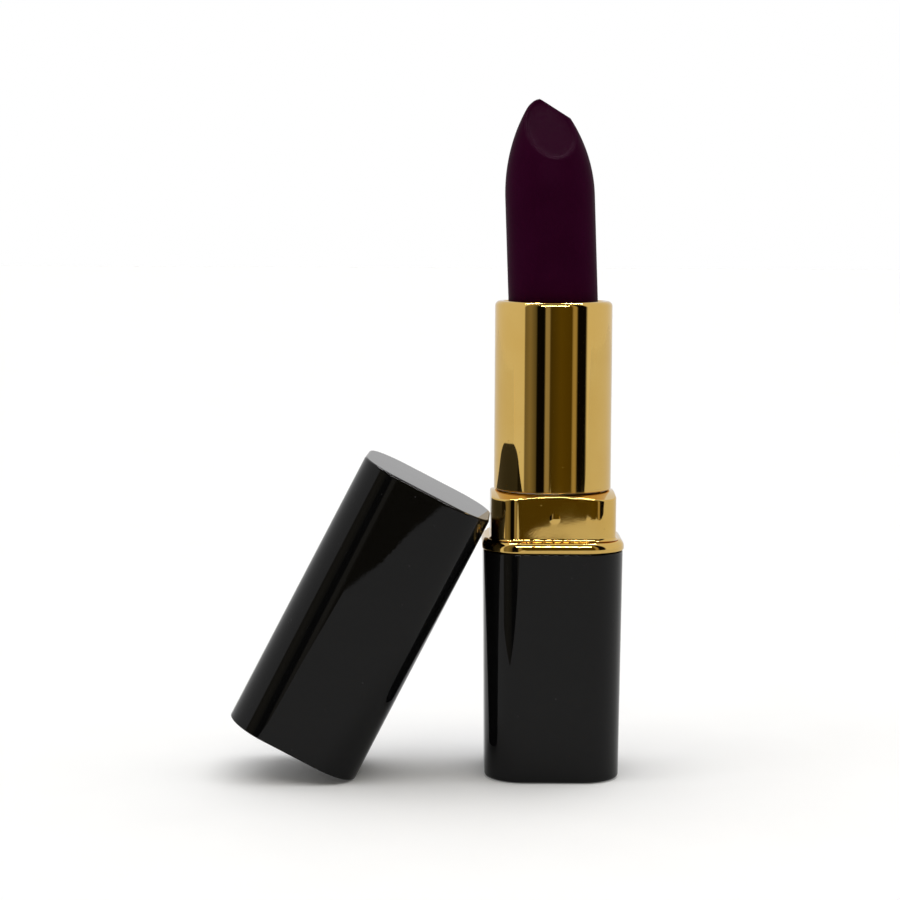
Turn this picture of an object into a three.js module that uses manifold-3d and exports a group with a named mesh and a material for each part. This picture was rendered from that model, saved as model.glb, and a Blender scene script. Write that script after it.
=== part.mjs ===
// A lipstick case with its cap off: a black square base with a gold collar, a round gold sleeve that is
// turned to raise the lipstick, and the cap, which stands on one edge of its mouth and leans on the collar.
// Millimetres, +Z up. The front faces -Y and +X is to the right of someone who looks at it.
// The origin is the centre of the base's underside, on the surface that the case stands on.

import * as THREE from 'three';
import { mergeVertices } from 'three/addons/utils/BufferGeometryUtils.js';
import Module from 'manifold-3d';

const wasm = await Module();
wasm.setup();

// Base: a rounded square box that narrows downwards.
const BASE_HEIGHT = 32.56;
const BASE_HALF_FOOT = 9.54;
const BASE_HALF_TOP = 9.87;
const BASE_WALL = 1.1;
const BASE_FLOOR = 1.6;
const BASE_FOOT_ROUND = 0.52;
const CORNER_CENTRE = 4.05;

// Collar: a flange on top of the base, a rounded square above it and a spigot inside the base.
const FLANGE_HALF = 10.03;
const FLANGE_BOTTOM = 32.66;
const FLANGE_TOP = 34.3;
const FLANGE_ROUND = 1.05;
const FLANGE_LOWER_ROUND = 0.3;
const COLLAR_HALF = 8.82;
const COLLAR_CORNER_CENTRE = 5;
const COLLAR_ROOT_ROUND = 0.4;
const COLLAR_TOP = 40.75;
const COLLAR_DOME_RADIUS = 38;
const COLLAR_BORE = 8.06;
const SPIGOT_HALF = 8.48;
const SPIGOT_BOTTOM = 18.6;
const SPIGOT_LEDGE = 1.5;
const FOOT_HOLE = 5;

// Round detent bumps in the middle of the collar's front and back faces hold the cap.
const BUMP_RADIUS = 0.8;
const BUMP_PROUD = 0.15;
const BUMP_HEIGHT = 37.5;

// Sleeve and mechanism, from the outside in. The radii leave running clearance between faceted tubes.
const SLEEVE_RADIUS = 8.34;
const SLEEVE_BORE = 7.98;
const SLEEVE_BOTTOM = 40.95;
const SLEEVE_TOP = 67.68;
const RIM_ROUND = 0.75;
const RIM_LIP = 0.45;
const RIM_BORE = 7.1;
const CAM_RADIUS = 7.93;
const CAM_BORE = 7.54;
const CAM_BOTTOM = 23.2;
const CAM_TOP = 66.95;
const GUIDE_RADIUS = 7.49;
const GUIDE_BORE = 7.06;
const GUIDE_TOP = 66.4;
const GUIDE_FOOT_RADIUS = 7.93;
const GUIDE_FOOT_TOP = 21.6;
const GUIDE_FLOOR_TOP = 22.8;
const PLUG_RADIUS = 4.9;
const SLOT_WIDTH = 2.2;
const FIT = 0.05;

// The lift: one and a half turns of the sleeve move the cup by the whole stroke.
const STROKE = 29.4;
const TURNS = 1.5;
const CAM_SLOT_RADIUS = 1.3;

// Cup and its lugs, drawn with the lipstick fully up.
const CUP_RADIUS = 6.99;
const CUP_BORE = 6.44;
const CUP_TOP = 66.5;
const CUP_BOTTOM = 55.4;
const CUP_SKIRT_BORE = 6;
const CUP_FLOOR_BOTTOM = 56.4;
const CUP_FLOOR_TOP = 57.4;
const LUG_RADIUS = 0.95;
const LUG_REACH = 7.89;
const LUG_HEIGHT = 57.3;

// Bullet: a half-inch stick with an ogive nose and one slanted cut. It leans to the left above the cup,
// and its nose drifts a little further that way, by NOSE_DRIFT times the square of the height above the
// shoulder.
const BULLET_RADIUS = 6.35;
const BULLET_LEAN = THREE.MathUtils.degToRad(2.2);
const LEAN_HEIGHT = 65;
const SHOULDER = 17.3;
const OGIVE_RADIUS = 22.5;
const NOSE_DRIFT = 0.0024;
const CUT_HEIGHT = 29.2;
const CUT_SLOPE = THREE.MathUtils.degToRad(51);
const CUT_TURN = THREE.MathUtils.degToRad(10);

// Cap: it narrows towards its closed end and tips about the edge of its mouth that is on the ground.
const CAP_LENGTH = 41.7;
const CAP_HALF_MOUTH = 9.9;
const CAP_HALF_END = 9.8;
const CAP_CORNER_CENTRE = 4.3;
const CAP_CAVITY_MOUTH = 8.92;
const CAP_CAVITY_END = 8.49;
const CAP_CAVITY_CORNER_CENTRE = 5.1;
const CAP_TOP_WALL = 1.5;
const CAP_MOUTH_ROUND = 0.15;
const CAP_END_ROUND = 0.35;
const CAP_LEAN = THREE.MathUtils.degToRad(27.2);
const CAP_TURN = THREE.MathUtils.degToRad(2);
const CAP_FORWARD = 1.7;
const CAP_GAP = 0.04;
const GROOVE_DEPTH = 0.12;
const GROOVE_HALF_WIDTH = 0.9;

// Weight and label.
const WEIGHT_HALF = 7.8;
const WEIGHT_HEIGHT = 5;
const LABEL_RECESS_HALF = 6.5;
const LABEL_RECESS = 0.22;
const LABEL_THICKNESS = 0.12;

const ROUND_STEPS = 48;
const CORNER_STEPS = 7;
const FILLET_STEPS = 3;
const MERGE = 1e-4;

const BLACK_PLASTIC = { color: 0x1b1b1b, roughness: 0.12, metalness: 0 };
const GOLD = { color: 0xd0ae62, roughness: 0.12, metalness: 1 };
const WHITE_PLASTIC = { color: 0xe8e6e0, roughness: 0.45, metalness: 0 };
const SILICONE = { color: 0xd8d8d4, roughness: 0.6, metalness: 0 };
const STEEL = { color: 0x8c8c8c, roughness: 0.4, metalness: 1 };
const PAPER = { color: 0xf2f0ea, roughness: 0.8, metalness: 0 };
const PLUM = { color: 0x2a0a1c, roughness: 0.35, metalness: 0 };

// Points on an arc in a profile: centre, radius, and start and end angles in quarter turns.
function arc(across, up, radius, start, end, steps = FILLET_STEPS) {
  const points = [];
  for (let i = 0; i <= steps; i++) {
    const angle = (start + ((end - start) * i) / steps) * (Math.PI / 2);
    points.push([across + radius * Math.cos(angle), up + radius * Math.sin(angle)]);
  }
  return points;
}

// A closed three.js geometry as a solid: shared vertices are merged and collapsed triangles dropped.
function solid(geometry) {
  geometry.deleteAttribute('normal');
  geometry.deleteAttribute('uv');
  const merged = mergeVertices(geometry, MERGE);
  const index = merged.index.array;
  const kept = [];
  for (let i = 0; i < index.length; i += 3) {
    const [a, b, c] = index.slice(i, i + 3);
    if (a !== b && b !== c && c !== a) kept.push(a, b, c);
  }
  const mesh = new wasm.Mesh({
    numProp: 3,
    vertProperties: new Float32Array(merged.attributes.position.array),
    triVerts: new Uint32Array(kept),
  });
  return new wasm.Manifold(mesh);
}

// A lathe about Z of a profile of [radius, height] points.
function lathe(profile, steps) {
  const points = profile.map(([across, up]) => new THREE.Vector2(across, up));
  return new THREE.LatheGeometry(points, steps);
}

function turned(profile) {
  return solid(lathe(profile, ROUND_STEPS).rotateX(Math.PI / 2));
}

// The same, squared: each ring of the lathe becomes a rounded square of half width equal to its radius.
// All its rings share their corner centres, so a wall keeps its thickness round the corners.
function squared(profile, cornerCentre) {
  const steps = 4 * CORNER_STEPS;
  const geometry = lathe(profile, steps);
  const position = geometry.attributes.position;
  for (let i = 0; i < position.count; i++) {
    const half = profile[i % profile.length][0];
    const step = Math.floor(i / profile.length) % steps;
    const quarter = Math.floor(step / CORNER_STEPS);
    const angle = (quarter + (step % CORNER_STEPS) / (CORNER_STEPS - 1)) * (Math.PI / 2);
    const centre = Math.min(cornerCentre, half);
    const sideX = quarter < 2 ? 1 : -1;
    const sideZ = quarter === 0 || quarter === 3 ? 1 : -1;
    position.setX(i, sideX * centre + (half - centre) * Math.sin(angle));
    position.setZ(i, sideZ * centre + (half - centre) * Math.cos(angle));
  }
  return solid(geometry.rotateX(Math.PI / 2));
}

// A named mesh of a solid in one of the colours above.
function piece(name, shape, look) {
  const mesh = shape.getMesh();
  const geometry = new THREE.BufferGeometry();
  geometry.setAttribute('position', new THREE.BufferAttribute(mesh.vertProperties, 3));
  geometry.setIndex(new THREE.BufferAttribute(mesh.triVerts, 1));
  geometry.computeVertexNormals();
  const made = new THREE.Mesh(geometry, new THREE.MeshStandardMaterial(look));
  made.name = name;
  return made;
}

function baseShell() {
  const foot = BASE_HALF_FOOT - BASE_FOOT_ROUND;
  return squared([
    [0, LABEL_RECESS],
    [LABEL_RECESS_HALF, LABEL_RECESS],
    [LABEL_RECESS_HALF, 0],
    ...arc(foot, BASE_FOOT_ROUND, BASE_FOOT_ROUND, -1, 0),
    [BASE_HALF_TOP, BASE_HEIGHT],
    [BASE_HALF_TOP - BASE_WALL, BASE_HEIGHT],
    [BASE_HALF_FOOT - BASE_WALL, BASE_FLOOR],
    [0, BASE_FLOOR],
  ], CORNER_CENTRE);
}

function bottomLabel() {
  const half = LABEL_RECESS_HALF - FIT;
  const top = LABEL_RECESS - FIT;
  const bottom = top - LABEL_THICKNESS;
  return squared([[0, bottom], [half, bottom], [half, top], [0, top]], CORNER_CENTRE);
}

function baseWeight() {
  const bottom = BASE_FLOOR + FIT;
  const top = bottom + WEIGHT_HEIGHT;
  return squared([[0, bottom], [WEIGHT_HALF, bottom], [WEIGHT_HALF, top], [0, top]], CORNER_CENTRE);
}

// The spigot and the flange, whose edge is a quarter round above a short upright band.
function flange() {
  const inset = FLANGE_HALF - FLANGE_ROUND;
  const lower = FLANGE_HALF - FLANGE_LOWER_ROUND;
  return squared([
    [0, SPIGOT_BOTTOM],
    [SPIGOT_HALF, SPIGOT_BOTTOM],
    [SPIGOT_HALF, FLANGE_BOTTOM],
    ...arc(lower, FLANGE_BOTTOM + FLANGE_LOWER_ROUND, FLANGE_LOWER_ROUND, -1, 0),
    ...arc(inset, FLANGE_TOP - FLANGE_ROUND, FLANGE_ROUND, 0, 1, 5),
    [0, FLANGE_TOP],
  ], CORNER_CENTRE);
}

// The square of the collar, with a hollow fillet where it rises from the flange.
function collarSquare() {
  const root = COLLAR_HALF + COLLAR_ROOT_ROUND;
  return squared([
    [0, FLANGE_BOTTOM + FLANGE_LOWER_ROUND],
    [root, FLANGE_BOTTOM + FLANGE_LOWER_ROUND],
    ...arc(root, FLANGE_TOP + COLLAR_ROOT_ROUND, COLLAR_ROOT_ROUND, 3, 2),
    [COLLAR_HALF, COLLAR_TOP + 1],
    [0, COLLAR_TOP + 1],
  ], COLLAR_CORNER_CENTRE);
}

// Everything below the collar's domed top face.
function underDome() {
  const centre = COLLAR_TOP - Math.sqrt(COLLAR_DOME_RADIUS ** 2 - SLEEVE_RADIUS ** 2);
  const dome = [];
  for (let radius = 13; radius >= 0; radius -= 1) {
    dome.push([radius, centre + Math.sqrt(COLLAR_DOME_RADIUS ** 2 - radius ** 2)]);
  }
  return turned([[0, SPIGOT_BOTTOM - 1], [13, SPIGOT_BOTTOM - 1], ...dome]);
}

function collarBump(side) {
  const ball = (BUMP_RADIUS ** 2 + BUMP_PROUD ** 2) / (2 * BUMP_PROUD);
  const depth = COLLAR_HALF + BUMP_PROUD - ball;
  return solid(new THREE.SphereGeometry(ball, 36, 24).translate(0, side * depth, BUMP_HEIGHT));
}

function collar() {
  const ledgeTop = SPIGOT_BOTTOM + SPIGOT_LEDGE;
  const bore = turned([
    [0, SPIGOT_BOTTOM - 1],
    [FOOT_HOLE, SPIGOT_BOTTOM - 1],
    [FOOT_HOLE, ledgeTop],
    [COLLAR_BORE, ledgeTop],
    [COLLAR_BORE, COLLAR_TOP + 2],
    [0, COLLAR_TOP + 2],
  ]);
  return flange().add(collarSquare()).intersect(underDome())
    .add(collarBump(-1)).add(collarBump(1)).subtract(bore);
}

// The guide tube: a plug through the collar's ledge, a foot on the ledge, and a tube with two slots.
function innerBody() {
  const ledgeTop = SPIGOT_BOTTOM + SPIGOT_LEDGE + FIT;
  const tube = turned([
    [0, SPIGOT_BOTTOM],
    [PLUG_RADIUS, SPIGOT_BOTTOM],
    [PLUG_RADIUS, ledgeTop],
    [GUIDE_FOOT_RADIUS, ledgeTop],
    [GUIDE_FOOT_RADIUS, GUIDE_FOOT_TOP],
    [GUIDE_RADIUS, GUIDE_FOOT_TOP],
    [GUIDE_RADIUS, GUIDE_TOP],
    [GUIDE_BORE, GUIDE_TOP],
    [GUIDE_BORE, GUIDE_FLOOR_TOP],
    [0, GUIDE_FLOOR_TOP],
  ]);
  const reach = LUG_RADIUS + 0.4;
  const length = STROKE + 2 * reach;
  const slots = new THREE.BoxGeometry(4 * GUIDE_RADIUS, SLOT_WIDTH, length);
  return tube.subtract(solid(slots.translate(0, 0, LUG_HEIGHT - STROKE / 2)));
}

function dragRing() {
  const bottom = GUIDE_FOOT_TOP + FIT;
  const top = CAM_BOTTOM - FIT;
  const bore = GUIDE_RADIUS + FIT;
  return turned([[bore, bottom], [GUIDE_FOOT_RADIUS, bottom], [GUIDE_FOOT_RADIUS, top], [bore, top],
    [bore, bottom]]);
}

function sleeveShell() {
  return turned([
    [SLEEVE_BORE, SLEEVE_BOTTOM],
    [SLEEVE_RADIUS, SLEEVE_BOTTOM],
    ...arc(SLEEVE_RADIUS - RIM_ROUND, SLEEVE_TOP - RIM_ROUND, RIM_ROUND, 0, 1, 5),
    ...arc(RIM_BORE + RIM_LIP / 2, SLEEVE_TOP - RIM_LIP / 2, RIM_LIP / 2, 1, 3, 6),
    [SLEEVE_BORE, SLEEVE_TOP - RIM_LIP],
    [SLEEVE_BORE, SLEEVE_BOTTOM],
  ]);
}

// The line down the middle of one helical slot, from just above the lug's highest place to just below
// its lowest.
class CamSlotLine extends THREE.Curve {
  constructor(start) {
    super();
    this.start = start;
  }

  getPoint(t) {
    const spare = (LUG_RADIUS + 0.35) / CAM_RADIUS;
    const turn = -spare + t * (TURNS * 2 * Math.PI + 2 * spare);
    const radius = (CAM_RADIUS + CAM_BORE) / 2;
    const height = LUG_HEIGHT - (turn * STROKE) / (TURNS * 2 * Math.PI);
    const angle = this.start + turn;
    return new THREE.Vector3(radius * Math.cos(angle), radius * Math.sin(angle), height);
  }
}

function camSlot(start) {
  const section = new THREE.Shape();
  section.absarc(0, 0, CAM_SLOT_RADIUS, 0, 2 * Math.PI);
  const path = new CamSlotLine(start);
  return solid(new THREE.ExtrudeGeometry(section, { steps: 44, curveSegments: 5, extrudePath: path }));
}

function camTube() {
  const tube = turned([
    [CAM_BORE, CAM_BOTTOM],
    [CAM_RADIUS, CAM_BOTTOM],
    [CAM_RADIUS, CAM_TOP],
    [CAM_BORE, CAM_TOP],
    [CAM_BORE, CAM_BOTTOM],
  ]);
  return tube.subtract(camSlot(0)).subtract(camSlot(Math.PI));
}

function lug(side) {
  const inner = (CUP_BORE + CUP_RADIUS) / 2;
  const length = LUG_REACH - inner;
  const pin = new THREE.CylinderGeometry(LUG_RADIUS, LUG_RADIUS, length, 16).rotateZ(Math.PI / 2);
  return solid(pin.translate(side * (inner + length / 2), 0, LUG_HEIGHT));
}

function cup() {
  const body = turned([
    [0, CUP_FLOOR_BOTTOM],
    [CUP_SKIRT_BORE, CUP_FLOOR_BOTTOM],
    [CUP_SKIRT_BORE, CUP_BOTTOM],
    [CUP_RADIUS, CUP_BOTTOM],
    [CUP_RADIUS, CUP_TOP],
    [CUP_BORE, CUP_TOP],
    [CUP_BORE, CUP_FLOOR_TOP],
    [0, CUP_FLOOR_TOP],
  ]);
  return body.add(lug(1)).add(lug(-1));
}

// The exposed stick, upright about its own axis, with the point where it starts to lean as its origin.
function bulletNose() {
  const rise = Math.sqrt(2 * OGIVE_RADIUS * BULLET_RADIUS - BULLET_RADIUS ** 2);
  const profile = [[0, -0.3], [BULLET_RADIUS, -0.3]];
  const steps = 18;
  for (let i = 0; i < steps; i++) {
    const up = (rise * i) / steps;
    profile.push([BULLET_RADIUS - OGIVE_RADIUS + Math.sqrt(OGIVE_RADIUS ** 2 - up ** 2), SHOULDER + up]);
  }
  profile.push([0, SHOULDER + rise]);
  const stick = lathe(profile, ROUND_STEPS).rotateX(Math.PI / 2);
  const position = stick.attributes.position;
  for (let i = 0; i < position.count; i++) {
    const above = Math.max(position.getZ(i) - SHOULDER, 0);
    position.setX(i, position.getX(i) - NOSE_DRIFT * above ** 2);
  }
  const size = 4 * BULLET_RADIUS;
  const waste = new THREE.BoxGeometry(size, size, size).translate(0, 0, size / 2);
  waste.rotateX(CUT_SLOPE).rotateZ(CUT_TURN).translate(0, 0, CUT_HEIGHT);
  return solid(stick).subtract(solid(waste));
}

function bullet() {
  const bottom = CUP_FLOOR_TOP + FIT;
  const foot = turned([[0, bottom], [BULLET_RADIUS, bottom], [BULLET_RADIUS, LEAN_HEIGHT], [0, LEAN_HEIGHT]]);
  const lean = new THREE.Matrix4().makeRotationY(-BULLET_LEAN).setPosition(0, 0, LEAN_HEIGHT);
  return foot.add(bulletNose().transform(lean.toArray()));
}

function capShell() {
  const outside = squared([
    [0, 0],
    ...arc(CAP_HALF_MOUTH - CAP_MOUTH_ROUND, CAP_MOUTH_ROUND, CAP_MOUTH_ROUND, -1, 0),
    ...arc(CAP_HALF_END - CAP_END_ROUND, CAP_LENGTH - CAP_END_ROUND, CAP_END_ROUND, 0, 1),
    [0, CAP_LENGTH],
  ], CAP_CORNER_CENTRE);
  const groove = BUMP_HEIGHT - FLANGE_TOP;
  const cavity = squared([
    [0, -1],
    [CAP_CAVITY_MOUTH, -1],
    [CAP_CAVITY_MOUTH, groove - GROOVE_HALF_WIDTH],
    [CAP_CAVITY_MOUTH + GROOVE_DEPTH, groove],
    [CAP_CAVITY_MOUTH, groove + GROOVE_HALF_WIDTH],
    [CAP_CAVITY_END, CAP_LENGTH - CAP_TOP_WALL],
    [0, CAP_LENGTH - CAP_TOP_WALL],
  ], CAP_CAVITY_CORNER_CENTRE);
  return outside.subtract(cavity);
}

// The cap leans to the right until the edge of its closed end meets the collar, and stands on its mouth.
// It is turned a little, so the back end of that edge is the one that touches.
function capPlace() {
  const sine = Math.sin(CAP_LEAN);
  const cosine = Math.cos(CAP_LEAN);
  const mouthAcross = CAP_HALF_MOUTH - CAP_MOUTH_ROUND;
  const drop = mouthAcross * sine - CAP_MOUTH_ROUND * cosine + CAP_MOUTH_ROUND;
  const endAcross = CAP_HALF_END - CAP_END_ROUND;
  const reach = endAcross * cosine + (CAP_LENGTH - CAP_END_ROUND) * sine + CAP_END_ROUND;
  const touch = reach * Math.cos(CAP_TURN) + CAP_CORNER_CENTRE * Math.sin(CAP_TURN);
  return new THREE.Vector3(-COLLAR_HALF - CAP_GAP - touch, -CAP_FORWARD, drop);
}

const base = new THREE.Group();
base.add(piece('base_shell', baseShell(), BLACK_PLASTIC));
base.add(piece('base_weight', baseWeight(), STEEL));
base.add(piece('bottom_label', bottomLabel(), PAPER));
base.add(piece('collar', collar(), GOLD));
base.add(piece('inner_body', innerBody(), WHITE_PLASTIC));
base.add(piece('drag_ring', dragRing(), SILICONE));

const sleeve = new THREE.Group();
sleeve.add(piece('sleeve_shell', sleeveShell(), GOLD));
sleeve.add(piece('cam_tube', camTube(), WHITE_PLASTIC));

const carrier = new THREE.Group();
carrier.add(piece('cup', cup(), WHITE_PLASTIC));
carrier.add(piece('bullet', bullet(), PLUM));

const cap = new THREE.Group();
cap.add(piece('cap_shell', capShell(), BLACK_PLASTIC));
cap.position.copy(capPlace());
cap.rotation.set(0, CAP_LEAN, -CAP_TURN, 'ZYX');

const lipstick = new THREE.Group();
lipstick.add(base, sleeve, carrier, cap);

export default lipstick;
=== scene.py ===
# %% [markdown]
# # A lipstick case with its cap off
# A black square base carries a gold collar and a round gold sleeve. Turning the sleeve raises the lipstick
# out of it. The cap is off: it stands on one edge of its mouth and leans on the collar.
# The engineering model is loaded first. It never moves: each piece made here takes its place from it.

# %% The engineering model
from math import cos, hypot, pi, radians, sin, sqrt

import bpy
from mathutils import Matrix, Vector


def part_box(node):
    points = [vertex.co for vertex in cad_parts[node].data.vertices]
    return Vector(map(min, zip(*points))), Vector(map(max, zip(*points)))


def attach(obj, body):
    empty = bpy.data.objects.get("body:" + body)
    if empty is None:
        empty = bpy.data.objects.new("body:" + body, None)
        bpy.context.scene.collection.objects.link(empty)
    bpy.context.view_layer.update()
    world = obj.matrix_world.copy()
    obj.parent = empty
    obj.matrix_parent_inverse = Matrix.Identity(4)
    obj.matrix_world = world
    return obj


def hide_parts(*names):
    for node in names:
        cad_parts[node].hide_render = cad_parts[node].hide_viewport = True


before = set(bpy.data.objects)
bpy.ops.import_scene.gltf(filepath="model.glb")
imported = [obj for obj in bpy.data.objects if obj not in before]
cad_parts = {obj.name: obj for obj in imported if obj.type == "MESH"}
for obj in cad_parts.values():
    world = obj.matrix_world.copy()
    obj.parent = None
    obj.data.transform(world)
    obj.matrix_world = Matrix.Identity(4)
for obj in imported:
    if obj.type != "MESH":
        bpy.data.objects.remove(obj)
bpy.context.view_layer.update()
print("nodes:", sorted(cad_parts))

# %% [markdown]
# ## The camera
# A camera that stands a third of a metre away with a long lens keeps the square base nearly free of
# perspective. It looks down a little, so the tops of the collar and of the cap are seen at a shallow angle.

# %% Camera
view = bpy.data.cameras.new("view")
view.lens = 91.46
view.sensor_width = 36
camera = bpy.data.objects.new("view", view)
bpy.context.scene.collection.objects.link(camera)
tilt = Matrix.Rotation(radians(90 - 5.386), 4, "X") @ Matrix.Rotation(radians(0.268), 4, "Z")
camera.matrix_world = Matrix.Translation((-0.014659, -0.32553, 0.076977)) @ tilt
bpy.context.scene.camera = camera
print("camera height:", round(camera.location.z, 3))

# %% [markdown]
# ## Working by hand, in code
# Every piece starts as a primitive and is shaped in edit mode. Blender's tools merge and round at about a
# tenth of a millimetre when the unit is a metre, so the pieces are modelled in millimetres and brought to
# metres when they are finished. These helpers do what a hand does: deselect all, go in, and pick faces or
# edges by where they are.

# %% Picking
def nothing():
    """Leaves edit mode and deselects everything."""
    if bpy.context.object and bpy.context.object.mode == "EDIT":
        bpy.ops.object.mode_set(mode="OBJECT")
    bpy.ops.object.select_all(action="DESELECT")


def alone(piece):
    """Makes a piece the only selected object, in object mode."""
    nothing()
    piece.select_set(True)
    bpy.context.view_layer.objects.active = piece


def millimetres(node):
    """The lowest and highest corners of a node of the engineering model, in millimetres."""
    low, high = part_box(node)
    return low * 1000, high * 1000


def begin(name):
    """Names the primitive just added, puts its place in its mesh and goes into edit mode."""
    piece = bpy.context.object
    piece.name = name
    piece.data.name = name
    bpy.ops.object.transform_apply(location=True, rotation=True, scale=True)
    bpy.ops.object.mode_set(mode="EDIT")
    bpy.ops.mesh.select_mode(type="VERT")
    return piece


def pick(piece, mode, test):
    """Selects the vertices, edges or faces of a piece whose corners all pass the test."""
    alone(piece)
    bpy.ops.object.mode_set(mode="EDIT")
    bpy.ops.mesh.select_mode(type=mode)
    bpy.ops.mesh.select_all(action="DESELECT")
    bpy.ops.object.mode_set(mode="OBJECT")
    mesh = piece.data
    corners = mesh.vertices
    parts = {"VERT": corners, "EDGE": mesh.edges, "FACE": mesh.polygons}[mode]
    count = 0
    for part in parts:
        places = [part.co] if mode == "VERT" else [corners[i].co for i in part.vertices]
        part.select = all(test(place) for place in places)
        count += part.select
    bpy.ops.object.mode_set(mode="EDIT")
    return count


def at(height, slack=0.004):
    """A test for a place at one height."""
    return lambda place: abs(place.z - height) < slack


def reach(place, corner_centre):
    """The half width of the rounded square through a place."""
    over = [max(abs(c) - corner_centre, 0) for c in (place.x, place.y)]
    return corner_centre + hypot(*over)


# %% [markdown]
# ## Growing a shape ring by ring
# A moulded shell is drawn out of its outline like dough: the face is extruded a step and scaled or inset,
# again and again. An inset keeps an even margin round the corners, so it makes the round edges.

# %% Growing
def grow(rise, scale=1):
    """Extrudes what is selected along Z, then scales it across."""
    bpy.ops.mesh.extrude_region_move(TRANSFORM_OT_translate={"value": (0, 0, rise)})
    if scale != 1:
        bpy.ops.transform.resize(value=(scale, scale, 1), center_override=(0, 0, 0))


def quarter(radius, steps):
    """The steps of a quarter round: how far each goes along its slow side and along its fast side."""
    for i in range(steps):
        first, last = i / steps * pi / 2, (i + 1) / steps * pi / 2
        yield radius * (cos(first) - cos(last)), radius * (sin(last) - sin(first))


def round_over(radius, steps):
    """Insets the selected face up a quarter round."""
    for inward, rise in quarter(radius, steps):
        bpy.ops.mesh.inset(thickness=inward, depth=rise, use_even_offset=True)


def open_up(piece, *heights):
    """Removes the flat end faces of a piece at these heights."""
    for height in heights:
        pick(piece, "FACE", at(height))
        bpy.ops.mesh.delete(type="ONLY_FACE")


def join(name, *pieces):
    """Joins pieces into the first one."""
    alone(pieces[0])
    for piece in pieces:
        piece.select_set(True)
    bpy.ops.object.join()
    pieces[0].name = name
    return pieces[0]


def bridge(piece, test):
    """Joins the two rings of edges that pass a test with a band of faces."""
    found = pick(piece, "EDGE", test)
    bpy.ops.mesh.bridge_edge_loops()
    print(piece.name, "bridged", found, "edges")


def soften(piece, test, width, segments):
    """Bevels the edges that pass a test."""
    found = pick(piece, "EDGE", test)
    bpy.ops.mesh.bevel(offset=width, segments=segments, profile=0.5, affect="EDGES")
    print(piece.name, "softened", found, "edges")


# %% Finishing
def modify(piece, kind, **settings):
    """Adds a modifier with its settings, and applies it."""
    alone(piece)
    modifier = piece.modifiers.new(kind.lower(), kind)
    for key, value in settings.items():
        setattr(modifier, key, value)
    bpy.ops.object.modifier_apply(modifier=modifier.name)


def close_up(piece, smooth=32):
    """Merges doubles, turns the faces outwards and shades the piece smooth up to an angle.

    The large faces keep their own normals, so a flat wall mirrors like a flat wall right up to its edges."""
    alone(piece)
    bpy.ops.object.mode_set(mode="EDIT")
    bpy.ops.mesh.select_mode(type="VERT")
    bpy.ops.mesh.select_all(action="SELECT")
    bpy.ops.mesh.remove_doubles(threshold=0.001)
    bpy.ops.mesh.normals_make_consistent(inside=False)
    bpy.ops.object.mode_set(mode="OBJECT")
    bpy.ops.object.shade_smooth_by_angle(angle=radians(smooth))
    modify(piece, "WEIGHTED_NORMAL", mode="FACE_AREA", keep_sharp=True)


def place(piece, body, slot, node, matrix=Matrix.Identity(4)):
    """Brings a finished piece to metres and to its place. It then rides on its body for its node."""
    alone(piece)
    piece.matrix_world = matrix @ Matrix.Scale(0.001, 4)
    bpy.ops.object.transform_apply(location=True, rotation=True, scale=True)
    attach(piece, body)
    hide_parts(node)
    corners = [vertex.co * 1000 for vertex in piece.data.vertices]
    low, high = millimetres(node)
    off = [max(abs(min(c[i] for c in corners) - low[i]), abs(max(c[i] for c in corners) - high[i]))
           for i in range(3)]
    print(piece.name, len(piece.data.polygons), "faces, off its node by", [round(o, 3) for o in off], "mm")


# %% [markdown]
# ## Rounded squares
# The base, the collar and the cap share one kind of outline: a square with broad round corners. It is a
# plane whose four corners are bevelled and whose sides are cut into short edges. Each outline has 128
# corners, as many as the round bore of the collar, so any two of them can be bridged with clean faces.

# %% Rounded square
CORNER_EDGES = 16
SIDE_EDGES = 16
ROUND = 4 * (CORNER_EDGES + SIDE_EDGES)


def rounded_square(name, half, corner_centre, height):
    """A rounded square face. Its corner centres lie corner_centre from the middle both ways."""
    nothing()
    bpy.ops.mesh.primitive_plane_add(size=2 * half, location=(0, 0, height))
    piece = begin(name)
    pick(piece, "VERT", lambda place: True)
    bpy.ops.mesh.bevel(offset=half - corner_centre, segments=CORNER_EDGES, affect="VERTICES")
    for axis in (0, 1):
        pick(piece, "EDGE", lambda place: abs(place[axis]) < corner_centre + 0.001)
        bpy.ops.mesh.subdivide(number_cuts=SIDE_EDGES - 1)
    pick(piece, "FACE", lambda place: True)
    bpy.ops.mesh.dissolve_faces()
    print(name, "outline corners:", len(piece.data.vertices))
    return piece


# %% [markdown]
# ## The base
# The base is one moulding with a closed bottom and walls 1.1 mm thick. It narrows downwards by about one
# degree so that it leaves the mould. Its foot is rounded, its top edge is crisp where the collar sits on
# it, and its underside has a shallow recess for the shade label. It grows upwards from the foot, then the
# top face is inset and pushed down to hollow it.

# %% Base
low, high = millimetres("base_shell")
FOOT_HALF = 9.54
TOP_HALF = high.x
WALL = 1.1
FLOOR = 1.6
base = rounded_square("base", FOOT_HALF, 4.05, low.z)
BASE_STEPS = 8
half = FOOT_HALF
for i in range(BASE_STEPS):
    wanted = FOOT_HALF + (TOP_HALF - FOOT_HALF) * (i + 1) / BASE_STEPS
    grow((high.z - low.z) / BASE_STEPS, wanted / half)
    half = wanted
bpy.ops.mesh.inset(thickness=WALL, use_even_offset=True)
grow(FLOOR - high.z, (FOOT_HALF - WALL) / (TOP_HALF - WALL))
pick(base, "FACE", at(low.z))
bpy.ops.mesh.inset(thickness=FOOT_HALF - 6.5, use_even_offset=True)
grow(0.22)
soften(base, lambda place: at(low.z)(place) and reach(place, 4.05) > FOOT_HALF - 0.1, 0.52, 6)
soften(base, lambda place: at(high.z)(place) and reach(place, 4.05) > TOP_HALF - 0.3, 0.12, 3)
close_up(base)
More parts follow.
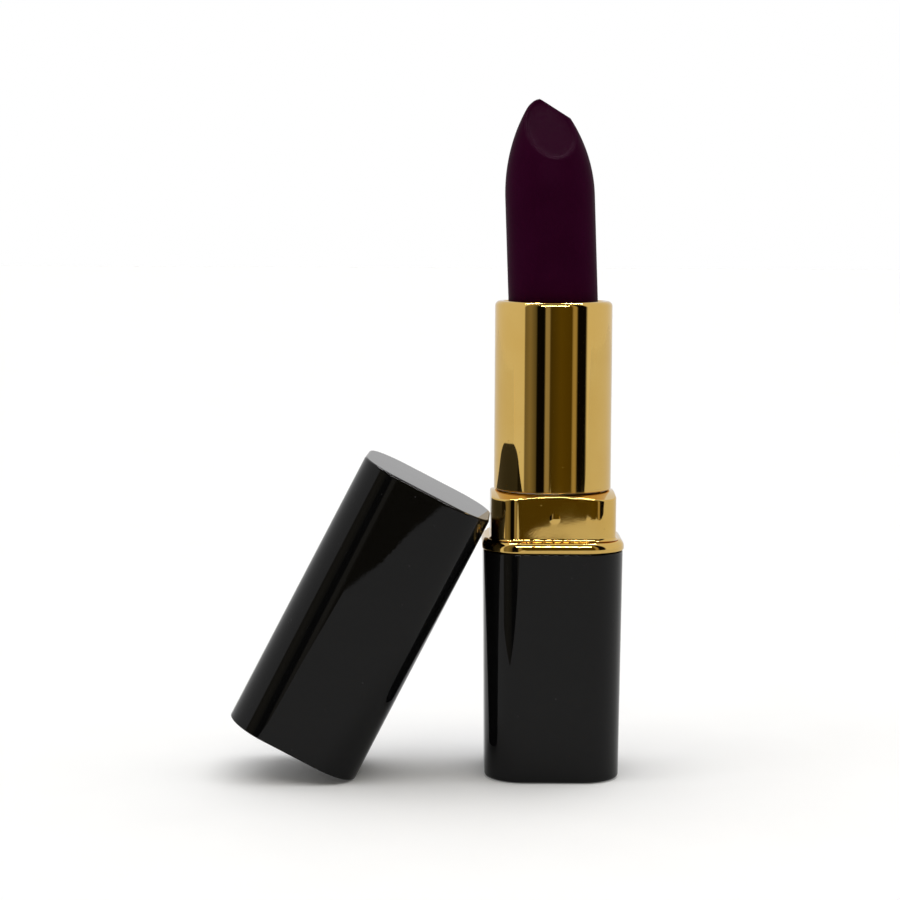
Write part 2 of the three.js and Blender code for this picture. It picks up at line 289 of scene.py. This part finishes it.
place(base, "base", "black_plastic", "base_shell")

# %% [markdown]
# ## The collar
# The collar is one plated moulding. From below: a spigot that grips the base, a flange with a round edge
# that covers the base's rim, a hollow fillet, and upright walls that hold the cap. Its top is a very shallow
# dome, and the sleeve stands in its round bore. The flange's corners are rounder than the walls' corners,
# so each band is drawn out on its own and the bands are bridged into one skin.

# %% Collar bands
FLANGE_BOTTOM = 32.66
FLANGE_TOP = 34.3
FLANGE_ROUND = 1.05
COLLAR_WALL = 8.82
COLLAR_ROOT = 0.4
COLLAR_TOP = 40.75
BORE = 8.06
low, high = millimetres("collar")
flange = rounded_square("flange", high.x, 4.05, FLANGE_BOTTOM)
grow(FLANGE_TOP - FLANGE_ROUND - FLANGE_BOTTOM)
round_over(FLANGE_ROUND, 14)
soften(flange, at(FLANGE_BOTTOM), 0.3, 5)
open_up(flange, FLANGE_TOP, FLANGE_BOTTOM)

# %% Collar walls
walls = rounded_square("walls", COLLAR_WALL + COLLAR_ROOT, 5, FLANGE_TOP)
for i, (rise, inward) in enumerate(quarter(COLLAR_ROOT, 8)):
    if i == 0:
        grow(rise, 1 - inward / (COLLAR_WALL + COLLAR_ROOT))
    else:
        bpy.ops.mesh.inset(thickness=inward, depth=rise, use_even_offset=True)
for i in range(4):
    grow((COLLAR_TOP - FLANGE_TOP - COLLAR_ROOT) / 4)
open_up(walls, FLANGE_TOP, COLLAR_TOP)
print("walls:", len(walls.data.polygons), "faces")

# %% Collar spigot and bore
SPIGOT_BOTTOM = low.z
spigot = rounded_square("spigot", 8.48, 4.05, SPIGOT_BOTTOM)
grow(FLANGE_BOTTOM - 0.004 - SPIGOT_BOTTOM)
open_up(spigot, SPIGOT_BOTTOM, FLANGE_BOTTOM - 0.004)


def ring(name, radius, height):
    """A circle of edges with as many corners as a rounded square."""
    nothing()
    bpy.ops.mesh.primitive_circle_add(vertices=ROUND, radius=radius, location=(0, 0, height))
    piece = begin(name)
    bpy.ops.mesh.select_all(action="SELECT")
    return piece


bore = ring("bore", 5, SPIGOT_BOTTOM)
grow(1.5)
grow(0, BORE / 5)
grow(COLLAR_TOP - SPIGOT_BOTTOM - 1.5)
collar = join("collar_plated", walls, flange, spigot, bore)
print("collar bands:", len(collar.data.vertices), "vertices")

# %% Collar bridges
bridge(collar, at(COLLAR_TOP))
bridge(collar, at(FLANGE_TOP))
bridge(collar, at(FLANGE_BOTTOM, 0.006))
bridge(collar, at(SPIGOT_BOTTOM))

# %% [markdown]
# The dome on the collar's top is too shallow to model by eye, so its corners are dropped onto a large
# sphere along Z. Then the outer top edge gets its small round, which catches a thin line of light.

# %% Collar dome
DOME = 38
SLEEVE_FOOT = 8.34
bpy.ops.object.mode_set(mode="OBJECT")
nothing()
bpy.ops.mesh.primitive_uv_sphere_add(segments=256, ring_count=256, radius=DOME)
dome = bpy.context.object
dome.location.z = COLLAR_TOP - sqrt(DOME ** 2 - SLEEVE_FOOT ** 2)
top_group = collar.vertex_groups.new(name="top")
top_group.add([v.index for v in collar.data.vertices if at(COLLAR_TOP)(v.co)], 1, "REPLACE")
modify(collar, "SHRINKWRAP", target=dome, wrap_method="PROJECT", use_project_z=True,
       use_negative_direction=True, use_positive_direction=True, vertex_group="top")
alone(dome)
bpy.ops.object.delete()
rim = [v.co for v in collar.data.vertices if v.co.z > COLLAR_TOP - 1]
print("dome from", round(min(c.z for c in rim), 3), "to", round(max(c.z for c in rim), 3))
soften(collar, lambda place: place.z > COLLAR_TOP - 1 and reach(place, 5) > COLLAR_WALL - 0.05, 0.22, 7)
close_up(collar)

# %% [markdown]
# In the middle of the front and of the back of the collar a small round bump holds the cap. It is a ball
# sunk in the wall and united with it.

# %% Collar bumps
BUMP_PROUD = 0.15
BUMP_HEIGHT = 37.5
BALL = (0.8 ** 2 + BUMP_PROUD ** 2) / (2 * BUMP_PROUD)
for side in (-1, 1):
    nothing()
    depth = side * (COLLAR_WALL + BUMP_PROUD - BALL)
    bpy.ops.mesh.primitive_uv_sphere_add(segments=96, ring_count=96, radius=BALL,
                                         location=(0, depth, BUMP_HEIGHT),
                                         rotation=(pi / 2, 0, 0))
    ball = begin("bump")
    pick(ball, "FACE", lambda place: side * place.y < COLLAR_WALL - 0.3)
    bpy.ops.mesh.delete(type="FACE")
    bpy.ops.mesh.select_mode(type="EDGE")
    bpy.ops.mesh.select_all(action="DESELECT")
    bpy.ops.mesh.select_non_manifold()
    bpy.ops.mesh.edge_face_add()
    close_up(ball)
    modify(collar, "BOOLEAN", object=ball, operation="UNION", solver="EXACT")
    alone(ball)
    bpy.ops.object.delete()
close_up(collar, 17)
place(collar, "base", "gold_plating", "collar")

# %% [markdown]
# ## The sleeve
# The sleeve is a drawn aluminium tube 0.3 mm thick. It stands just clear of the collar, its bottom edge is
# slightly turned in, and its top is rolled over into a soft lip. Round pieces are turned up from a circle
# by extruding and scaling it through the points of their profile.

# %% Turning
def turn(name, profile, segments=ROUND):
    """A closed round piece through the (radius, height) points of its profile."""
    nothing()
    radius, height = profile[0]
    bpy.ops.mesh.primitive_circle_add(vertices=segments, radius=radius, location=(0, 0, height))
    piece = begin(name)
    bpy.ops.mesh.select_all(action="SELECT")
    for next_radius, next_height in profile[1:]:
        grow(next_height - height, next_radius / radius)
        radius, height = next_radius, next_height
    return piece


def bend(across_centre, up_centre, radius, first, last, steps):
    """Points of an arc in a profile, from one angle to another in degrees."""
    angles = [radians(first + (last - first) * i / steps) for i in range(steps + 1)]
    return [(across_centre + radius * cos(a), up_centre + radius * sin(a)) for a in angles]


# %% Sleeve
low, high = millimetres("sleeve_shell")
OUTSIDE = high.x
INSIDE = 7.98
RIM = 0.75
LIP = 0.225
RIM_BORE = 7.1
profile = [(INSIDE, low.z), (OUTSIDE - 0.12, low.z)]
profile += bend(OUTSIDE - 0.12, low.z + 0.12, 0.12, -90, 0, 4)[1:]
profile += [(OUTSIDE, low.z + (high.z - low.z - RIM) * k / 6) for k in range(1, 6)]
profile += bend(OUTSIDE - RIM, high.z - RIM, RIM, 0, 90, 12)
profile += bend(RIM_BORE + LIP, high.z - LIP, LIP, 90, 270, 10)
profile += [(INSIDE, high.z - 2 * LIP), (INSIDE, low.z)]
sleeve = turn("sleeve_tube", profile)
close_up(sleeve, 40)
place(sleeve, "sleeve", "gold_sleeve", "sleeve_shell")

# %% [markdown]
# ## The lipstick
# The stick is cast in a mould with a pointed, arched nose, and one slanted face is left by the mould's
# insert. The real one leans a little in its cup, and its nose drifts further the same way. It is turned up
# ring by ring, each ring shifted by the drift, then cut by a plane. The face of the cut is dished a little
# inside a narrow border, as wax shrinks while it sets, and a second small cut trims the tip to the right.
# The finished stick is meshed again in small even squares and smoothed over, which gives its edges the soft
# round of cast wax.

# %% Lipstick stick
low, high = millimetres("bullet")
STICK = 6.35
LEAN_HEIGHT = 65
SHOULDER = 17.3
ARCH = 22.5
DRIFT = 0.0024
FOOT_ROUND = 0.25
nothing()
bpy.ops.mesh.primitive_circle_add(vertices=ROUND, radius=STICK - FOOT_ROUND, fill_type="NGON",
                                  location=(0, 0, low.z))
bullet = begin("lipstick_stick")
bpy.ops.mesh.select_all(action="SELECT")
rings = [(STICK, low.z + FOOT_ROUND), (STICK, LEAN_HEIGHT - 0.05), (STICK, LEAN_HEIGHT)]
rings += [(STICK, LEAN_HEIGHT + SHOULDER * k / 6) for k in range(1, 7)]
rise = sqrt(2 * ARCH * STICK - STICK ** 2)
for k in range(1, 45):
    up = rise * k / 45
    rings.append((STICK - ARCH + sqrt(ARCH ** 2 - up ** 2), LEAN_HEIGHT + SHOULDER + up))
radius, height, centre = STICK - FOOT_ROUND, low.z, 0
for next_radius, next_height in rings:
    above = max(next_height - LEAN_HEIGHT - SHOULDER, 0)
    drift = -DRIFT * above ** 2
    bpy.ops.mesh.extrude_region_move(
        TRANSFORM_OT_translate={"value": (drift - centre, 0, next_height - height)})
    scale = next_radius / radius
    bpy.ops.transform.resize(value=(scale, scale, 1), center_override=(drift, 0, 0))
    radius, height, centre = next_radius, next_height, drift
print("stick:", len(rings), "rings")

# %% Lipstick cut
def facing(slope, swing):
    """The way a cut faces: tipped from straight up by its slope, and swung from the front, in degrees."""
    slope, swing = radians(slope), radians(swing)
    return Vector((sin(slope) * sin(swing), -sin(slope) * cos(swing), cos(slope)))


def slice_off(middle, way):
    """Cuts the whole stick by a plane through a place and keeps the lower part."""
    bpy.ops.mesh.select_all(action="SELECT")
    bpy.ops.mesh.bisect(plane_co=middle, plane_no=way, use_fill=True, clear_outer=True, threshold=0.0005)
    bpy.ops.object.mode_set(mode="OBJECT")


def on_cut(place):
    """Whether a place lies on the slanted face."""
    return abs((place - CUT_MIDDLE).dot(CUT_FACING)) < 0.003


CUT_MIDDLE = Vector((0, 0, LEAN_HEIGHT + 29.4))
CUT_FACING = facing(51, 10)
TIP_CUT_PLACE = Vector((-1.146, 2.5, 96.448))
TIP_CUT_FACING = Vector((0.562, -0.07, 0.824))
slice_off(CUT_MIDDLE, CUT_FACING)


pick(bullet, "VERT", lambda place: place.z > LEAN_HEIGHT + SHOULDER and on_cut(place))
bpy.ops.mesh.remove_doubles(threshold=0.12)
pick(bullet, "FACE", on_cut)
for inward, depth in ((0.42, 0.02), (0.16, -0.2), (0.4, -0.07), (0.5, -0.04)):
    bpy.ops.mesh.inset(thickness=inward, depth=depth, use_even_offset=True)
slice_off(TIP_CUT_PLACE, TIP_CUT_FACING)

# %% Lipstick lean
LEAN = radians(2.2)
pick(bullet, "VERT", lambda place: place.z > LEAN_HEIGHT - 0.01)
before = max(v.co.z for v in bullet.data.vertices)
bpy.ops.transform.rotate(value=LEAN, orient_axis="Y", center_override=(0, 0, LEAN_HEIGHT))
modify(bullet, "REMESH", mode="VOXEL", voxel_size=0.15)
modify(bullet, "SMOOTH", factor=0.5, iterations=2)
alone(bullet)
bpy.ops.object.shade_smooth()
tip = max((v.co for v in bullet.data.vertices), key=lambda c: c.z)
print("tip:", [round(c, 2) for c in tip], "was as high as", round(before, 2))
place(bullet, "carrier", "lipstick", "bullet")

# %% [markdown]
# ## The cap
# The cap is drawn out upright on its mouth like the base, with the same round corners and a slight draft,
# a small round at its mouth and a tight round at its closed end. Its cavity is a second skin with the
# collar's corner, with a shallow groove that snaps over the bumps. The two skins are bridged round the
# mouth. Only then is the finished cap put in its leaning place.

# %% Cap skins
CAP_MOUTH = 9.9
CAP_END = 9.8
CAP_LENGTH = 41.7
END_ROUND = 0.35
CAVITY_MOUTH = 8.92
CAVITY_END = 8.49
GROOVE = 3.2
MOUTH_ROUND = 0.15
half = CAP_MOUTH - MOUTH_ROUND
shell = rounded_square("shell", half, 4.24, 0)
for rise, wider in quarter(MOUTH_ROUND, 4):
    grow(rise, (half + wider) / half)
    half += wider
for i in range(10):
    wanted = CAP_MOUTH + (CAP_END - CAP_MOUTH) * (i + 1) / 10
    grow((CAP_LENGTH - END_ROUND - MOUTH_ROUND) / 10, wanted / half)
    half = wanted
round_over(END_ROUND, 6)
open_up(shell, 0)
LEVEL_GAP = 0.02
cavity = rounded_square("cavity", CAVITY_MOUTH, 5.1, LEVEL_GAP)
grow(GROOVE - 0.9 - LEVEL_GAP)
grow(0.9, 1 + 0.12 / CAVITY_MOUTH)
grow(0.9, CAVITY_MOUTH / (CAVITY_MOUTH + 0.12))
grow(CAP_LENGTH - 1.5 - 0.6 - GROOVE - 0.9, CAVITY_END / CAVITY_MOUTH)
round_over(0.6, 4)
open_up(cavity, LEVEL_GAP)
cap = join("cap_moulding", shell, cavity)
bridge(cap, lambda place: at(0)(place) or at(LEVEL_GAP)(place))
close_up(cap)

# %% Cap place
CAP_LEAN = radians(27.2)
CAP_TURN = radians(2)
lean = Matrix.Rotation(-CAP_TURN, 4, "Z") @ Matrix.Rotation(CAP_LEAN, 4, "Y")
corners = [lean @ v.co for v in cap.data.vertices]
low, high = millimetres("cap_shell")
offset = [low[i] - min(c[i] for c in corners) for i in range(3)]
place(cap, "cap", "black_plastic", "cap_shell", Matrix.Translation([o / 1000 for o in offset]) @ lean)

# %% [markdown]
# ## Finishes
# Each finish is one Principled shader. What makes it look real is small and uneven: a gloss that changes
# where hands have touched it, a surface that is not quite flat, a few specks of dust. These come from noise
# on Object coordinates, so they stay with the piece when it moves.

# %% Finish helpers
def new_finish(name, **sockets):
    """A material with one Principled shader, its sockets set by name."""
    material = bpy.data.materials.new(name)
    material.use_nodes = True
    shader = material.node_tree.nodes["Principled BSDF"]
    for socket, value in sockets.items():
        shader.inputs[socket.replace("_", " ")].default_value = value
    return material


def add(material, kind, **settings):
    """Adds a node with its settings."""
    made = material.node_tree.nodes.new("ShaderNode" + kind)
    for key, value in settings.items():
        setattr(made, key, value)
    return made


def connect(material, output, target):
    material.node_tree.links.new(output, target)


def grain(material, scale, detail=3, stretch=(1, 1, 1), roughness=0.5):
    """Noise on Object coordinates, with a scale in patches per metre. Returns its 0 to 1 output."""
    where = add(material, "TexCoord")
    mapping = add(material, "Mapping")
    mapping.inputs["Scale"].default_value = stretch
    noise = add(material, "TexNoise")
    noise.inputs["Scale"].default_value = scale
    noise.inputs["Detail"].default_value = detail
    noise.inputs["Roughness"].default_value = roughness
    connect(material, where.outputs["Object"], mapping.inputs["Vector"])
    connect(material, mapping.outputs["Vector"], noise.inputs["Vector"])
    return noise.outputs["Fac"]


def between(material, output, low, high, to_low, to_high):
    """Maps the part of an output between low and high onto a new range."""
    ranged = add(material, "MapRange")
    for socket, value in zip(("From Min", "From Max", "To Min", "To Max"), (low, high, to_low, to_high)):
        ranged.inputs[socket].default_value = value
    connect(material, output, ranged.inputs["Value"])
    return ranged.outputs["Result"]


def blend_colours(material, output, first, second):
    """A colour that goes from the first to the second as an output goes from 0 to 1."""
    mix = add(material, "Mix", data_type="RGBA")
    mix.inputs["A"].default_value = (*first, 1)
    mix.inputs["B"].default_value = (*second, 1)
    connect(material, output, mix.inputs["Factor"])
    return mix.outputs["Result"]


def to_shader(material, socket, output):
    connect(material, output, material.node_tree.nodes["Principled BSDF"].inputs[socket])


def relief(material, *layers):
    """Bumps from outputs, each with its depth in metres, one on top of another."""
    normal = None
    for output, depth in layers:
        bump = add(material, "Bump")
        bump.inputs["Strength"].default_value = 1
        bump.inputs["Distance"].default_value = depth
        connect(material, output, bump.inputs["Height"])
        if normal:
            connect(material, normal, bump.inputs["Normal"])
        normal = bump.outputs["Normal"]
    to_shader(material, "Normal", normal)


def specks(material, scale, size):
    """Sparse round specks: 1 in a speck and 0 elsewhere."""
    where = add(material, "TexCoord")
    cells = add(material, "TexVoronoi")
    cells.inputs["Scale"].default_value = scale
    connect(material, where.outputs["Object"], cells.inputs["Vector"])
    return between(material, cells.outputs["Distance"], size, size * 0.6, 0, 1)


def wear(piece, material):
    piece.data.materials.clear()
    piece.data.materials.append(material)

# %% [markdown]
# ### Gloss black moulding
# The base and the cap are injection moulded in black and polished by the mould. The gloss is high, with a
# faint slow waviness from shrinkage, fine handling haze and a few dust specks. Its index of refraction is
# set lower than a real moulding's, about 1.5, to suit how bright this tent is.

# %% Gloss black
black = new_finish("gloss_black", IOR=1.32)
haze = grain(black, 140, 4)
dust = specks(black, 420, 0.045)
to_shader(black, "Base Color", blend_colours(black, dust, (0.0028, 0.0028, 0.003), (0.03, 0.03, 0.032)))
to_shader(black, "Roughness", between(black, haze, 0.35, 0.7, 0.012, 0.03))
relief(black, (grain(black, 95, 1), 0.00002), (grain(black, 2600, 2), 0.0000004), (dust, 0.000004))
wear(base, black)
wear(cap, black)

# %% [markdown]
# ### Plated gold and anodised gold
# The collar is plastic under a vacuum plated mirror: it follows every sink of the moulding, so its
# reflections wobble. The sleeve is drawn and polished aluminium, anodised gold: truer, with very fine lines
# along the draw and some small scratches.

# %% Gold
GOLD = (0.80, 0.54, 0.165)
GOLD_DEEP = (0.74, 0.47, 0.12)
plated = new_finish("plated_gold", Metallic=1)
touch = grain(plated, 260, 4)
to_shader(plated, "Base Color", blend_colours(plated, touch, GOLD_DEEP, GOLD))
to_shader(plated, "Roughness", between(plated, touch, 0.35, 0.7, 0.02, 0.05))
relief(plated, (grain(plated, 150, 1), 0.00002), (grain(plated, 3800, 2), 0.0000003),
       (specks(plated, 650, 0.06), 0.000004))
wear(collar, plated)

anodised = new_finish("anodised_gold", Metallic=1)
touch = grain(anodised, 200, 4)
draw = grain(anodised, 2400, 3, (1, 1, 0.02))
to_shader(anodised, "Base Color", blend_colours(anodised, touch, GOLD_DEEP, GOLD))
to_shader(anodised, "Roughness", between(anodised, draw, 0.3, 0.7, 0.025, 0.06))
relief(anodised, (grain(anodised, 70, 1, (1, 1, 0.35)), 0.00001), (draw, 0.0000006),
       (specks(anodised, 520, 0.05), 0.000004))
wear(sleeve, anodised)

# %% [markdown]
# ### Lipstick wax
# A very dark plum wax with a dull satin skin, a fine bloom of oil, and faint lines along the pull. Its
# reflection is set far weaker than real wax has, because a fuller one turns its sides grey in this tent.

# %% Wax
wax = new_finish("plum_wax", IOR=1.42, Specular_IOR_Level=0.01, Subsurface_Weight=0.04,
                 Subsurface_Scale=0.001, Specular_Tint=(1, 0.3, 0.7, 1))
wax.node_tree.nodes["Principled BSDF"].inputs["Subsurface Radius"].default_value = (1, 0.2, 0.4)
bloom = grain(wax, 180, 5)
pull = grain(wax, 900, 3, (1, 1, 0.06))
to_shader(wax, "Base Color", blend_colours(wax, bloom, (0.019, 0.0008, 0.0095), (0.028, 0.0016, 0.0145)))
to_shader(wax, "Roughness", between(wax, bloom, 0.3, 0.75, 0.34, 0.46))
relief(wax, (pull, 0.000004), (grain(wax, 2200, 3), 0.0000025), (grain(wax, 130, 1), 0.00003))
wear(bullet, wax)

# %% [markdown]
# ### What is inside
# The cup, the guide tube and the cam tube are natural white mouldings, the ring is silicone, the slug is
# pressed steel and the label is blank paper. They are the engineering model's own pieces with a better
# finish.

# %% Inner finishes
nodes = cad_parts
natural = new_finish("natural_moulding", IOR=1.49, Subsurface_Weight=0.1, Subsurface_Scale=0.002)
mottle = grain(natural, 300, 4)
to_shader(natural, "Base Color", blend_colours(natural, mottle, (0.74, 0.72, 0.66), (0.84, 0.83, 0.79)))
to_shader(natural, "Roughness", between(natural, mottle, 0.3, 0.7, 0.35, 0.5))
relief(natural, (grain(natural, 4000, 2), 0.000002))
for name in ("cup", "inner_body", "cam_tube"):
    wear(nodes[name], natural)

silicone = new_finish("silicone_ring", IOR=1.41, Subsurface_Weight=0.3, Subsurface_Scale=0.002)
mottle = grain(silicone, 500, 3)
to_shader(silicone, "Base Color", blend_colours(silicone, mottle, (0.6, 0.6, 0.58), (0.72, 0.72, 0.7)))
to_shader(silicone, "Roughness", between(silicone, mottle, 0.3, 0.7, 0.5, 0.65))
relief(silicone, (grain(silicone, 5000, 2), 0.000002))
wear(nodes["drag_ring"], silicone)

pressed = new_finish("pressed_steel", Metallic=1)
scale = grain(pressed, 700, 5)
to_shader(pressed, "Base Color", blend_colours(pressed, scale, (0.33, 0.32, 0.31), (0.5, 0.5, 0.5)))
to_shader(pressed, "Roughness", between(pressed, scale, 0.3, 0.7, 0.3, 0.55))
relief(pressed, (grain(pressed, 3000, 4), 0.000006))
wear(nodes["base_weight"], pressed)

paper = new_finish("label_paper", IOR=1.45)
fibre = grain(paper, 1500, 6, (1, 0.35, 1))
to_shader(paper, "Base Color", blend_colours(paper, fibre, (0.74, 0.73, 0.69), (0.84, 0.83, 0.8)))
to_shader(paper, "Roughness", between(paper, fibre, 0.3, 0.7, 0.6, 0.8))
relief(paper, (fibre, 0.000008))
wear(nodes["bottom_label"], paper)
print("finishes:", sorted(m.name for m in bpy.data.materials))

# %% [markdown]
# ## The studio
# Mirror gold and gloss black show what surrounds them more than their own colour. The case stands in a
# white light tent whose front is open towards a dim room. Its floor is white as far as the opening, and two
# rows of small lamps hang over the front and over the middle. Seen straight, the surroundings are plain.

# %% Floor
def floor_finish(name, grey):
    material = new_finish(name)
    fleck = grain(material, 60, 5)
    to_shader(material, "Base Color", blend_colours(material, fleck, [grey] * 3, [grey + 0.03] * 3))
    to_shader(material, "Roughness", between(material, fleck, 0.3, 0.7, 0.7, 0.8))
    return material


def sheet(name, outline):
    """A flat stage piece: one face made straight from points on the floor."""
    mesh = bpy.data.meshes.new(name)
    mesh.from_pydata([(x, y, 0) for x, y in outline], [], [range(len(outline))])
    piece = bpy.data.objects.new(name, mesh)
    bpy.context.scene.collection.objects.link(piece)
    return piece


floor = sheet("floor", [(-3, -3), (3, -3), (3, 5), (-3, 5)])
wear(floor, floor_finish("pale_floor", 0.9))
floor.visible_glossy = False
mirrored = sheet("floor_in_reflections", [(-1, -0.06), (-0.056, -0.068), (-0.053, -0.15), (-0.046, -0.24),
                                          (-0.04, -0.37), (0, -0.262), (0.027, -0.325), (0.16, -0.285),
                                          (0.3, -0.16), (1.2, -0.3), (1.2, 1.2), (-1, 1.2)])
mirrored.location.z = 0.0002
wear(mirrored, floor_finish("tent_floor", 0.6))
mirrored.visible_camera = False
mirrored.visible_diffuse = False
mirrored.visible_shadow = False

# %% Surroundings
world = bpy.data.worlds.new("tent")
bpy.context.scene.world = world
world.use_nodes = True
tree = world.node_tree


def tree_node(kind, **settings):
    made = tree.nodes.new("ShaderNode" + kind)
    for key, value in settings.items():
        setattr(made, key, value)
    return made


def calculate(operation, first, second=0.0):
    """A Math node of two numbers or outputs."""
    made = tree_node("Math", operation=operation)
    for socket, value in zip(made.inputs, (first, second)):
        if isinstance(value, (int, float)):
            socket.default_value = value
        else:
            tree.links.new(value, socket)
    return made.outputs[0]


direction = tree_node("SeparateXYZ")
tree.links.new(tree_node("TexCoord").outputs["Generated"], direction.inputs[0])
right, back, up = direction.outputs
front = calculate("MULTIPLY", back, -1)
turn_share = calculate("ADD", calculate("DIVIDE", calculate("ARCTAN2", right, front), 2 * pi), 0.5)
ramp = tree_node("ValToRGB")
WHITE = (0.76, 0.76, 0.76)
BLACK = (0.004, 0.0035, 0.002)
ROOM = [(-180, WHITE), (-61, WHITE), (-59, (0.18, 0.16, 0.11)), (-48, (0.25, 0.22, 0.15)),
        (-36, (0.11, 0.1, 0.07)), (-34, BLACK), (-19, BLACK), (-17, (0.34, 0.31, 0.25)),
        (-10, (0.34, 0.31, 0.25)), (-8, (0.06, 0.045, 0.008)), (12, (0.1, 0.072, 0.006)),
        (34, (0.08, 0.056, 0.003)), (37, (0.4, 0.34, 0.2)), (43, (0.4, 0.34, 0.2)), (46, BLACK),
        (64, BLACK), (68, WHITE), (180, WHITE)]
stops = ramp.color_ramp.elements
while len(stops) < len(ROOM):
    stops.new(0.5)
for stop, (angle, colour) in zip(stops, ROOM):
    stop.position = (angle + 180) / 360
    stop.color = (*colour, 1)
tree.links.new(turn_share, ramp.inputs["Fac"])
ceiling = tree_node("MapRange")
for socket, value in zip(("From Min", "From Max", "To Min", "To Max"), (0.97, 0.99, 0, 1)):
    ceiling.inputs[socket].default_value = value
tree.links.new(up, ceiling.inputs["Value"])
tent = tree_node("Mix", data_type="RGBA")
tree.links.new(ceiling.outputs["Result"], tent.inputs["Factor"])
tree.links.new(ramp.outputs["Color"], tent.inputs["A"])
tent.inputs["B"].default_value = (0.8, 0.8, 0.8, 1)
plain = tree_node("Mix", data_type="RGBA")
tree.links.new(tree_node("LightPath").outputs["Is Camera Ray"], plain.inputs["Factor"])
tree.links.new(tent.outputs["Result"], plain.inputs["A"])
plain.inputs["B"].default_value = (1, 1, 1, 1)
tree.links.new(plain.outputs["Result"], tree.nodes["Background"].inputs["Color"])

# %% Soft light from above
def soft_light(name, place, aim, spread, strength):
    """A sky-like light that comes from one side, spread over an angle in degrees."""
    light = bpy.data.lights.new(name, "SUN")
    light.angle = radians(spread)
    light.energy = strength
    lamp = bpy.data.objects.new(name, light)
    bpy.context.scene.collection.objects.link(lamp)
    lamp.location = place
    lamp.rotation_euler = (Vector(place) - Vector(aim)).to_track_quat("Z", "Y").to_euler()
    lamp.visible_glossy = False


soft_light("top_light", (0.1, -0.1, 1.1), (0, 0, 0), 80, 1.7)
soft_light("left_light", (-0.8, -0.5, 0.8), (0, 0, 0.05), 40, 0.3)

# %% Lamp rows
LAMP_PITCH = 0.0018
LAMP_STRENGTH = 80
ROW = (0.05, 0.004)
lamp_glow = bpy.data.materials.new("lamp_row")
lamp_glow.use_nodes = True
lamp_tree = lamp_glow.node_tree
lamp_tree.nodes.remove(lamp_tree.nodes["Principled BSDF"])
glow = add(lamp_glow, "Emission")
along = add(lamp_glow, "SeparateXYZ")
connect(lamp_glow, add(lamp_glow, "TexCoord").outputs["Object"], along.inputs[0])
count = add(lamp_glow, "Math", operation="MULTIPLY")
count.inputs[1].default_value = 1 / LAMP_PITCH
connect(lamp_glow, along.outputs["X"], count.inputs[0])
share = add(lamp_glow, "Math", operation="FRACT")
connect(lamp_glow, count.outputs[0], share.inputs[0])
lit = add(lamp_glow, "Math", operation="LESS_THAN")
lit.inputs[1].default_value = 0.5
connect(lamp_glow, share.outputs[0], lit.inputs[0])
strength = add(lamp_glow, "Math", operation="MULTIPLY")
strength.inputs[1].default_value = LAMP_STRENGTH
connect(lamp_glow, lit.outputs[0], strength.inputs[0])
connect(lamp_glow, strength.outputs[0], glow.inputs["Strength"])
connect(lamp_glow, glow.outputs[0], lamp_tree.nodes["Material Output"].inputs["Surface"])
for name, place_at, lean_x in (("lamps_front", (0, -0.092, 0.121), 45), ("lamps_over", (0, 0.009, 0.152), 0)):
    row = sheet(name, [(x * ROW[0], y * ROW[1]) for x, y in ((-1, -1), (1, -1), (1, 1), (-1, 1))])
    row.location = place_at
    row.rotation_euler.x = radians(lean_x)
    wear(row, lamp_glow)
    row.visible_camera = False
    row.visible_diffuse = False
    row.visible_shadow = False

bpy.context.scene.view_settings.view_transform = "Standard"
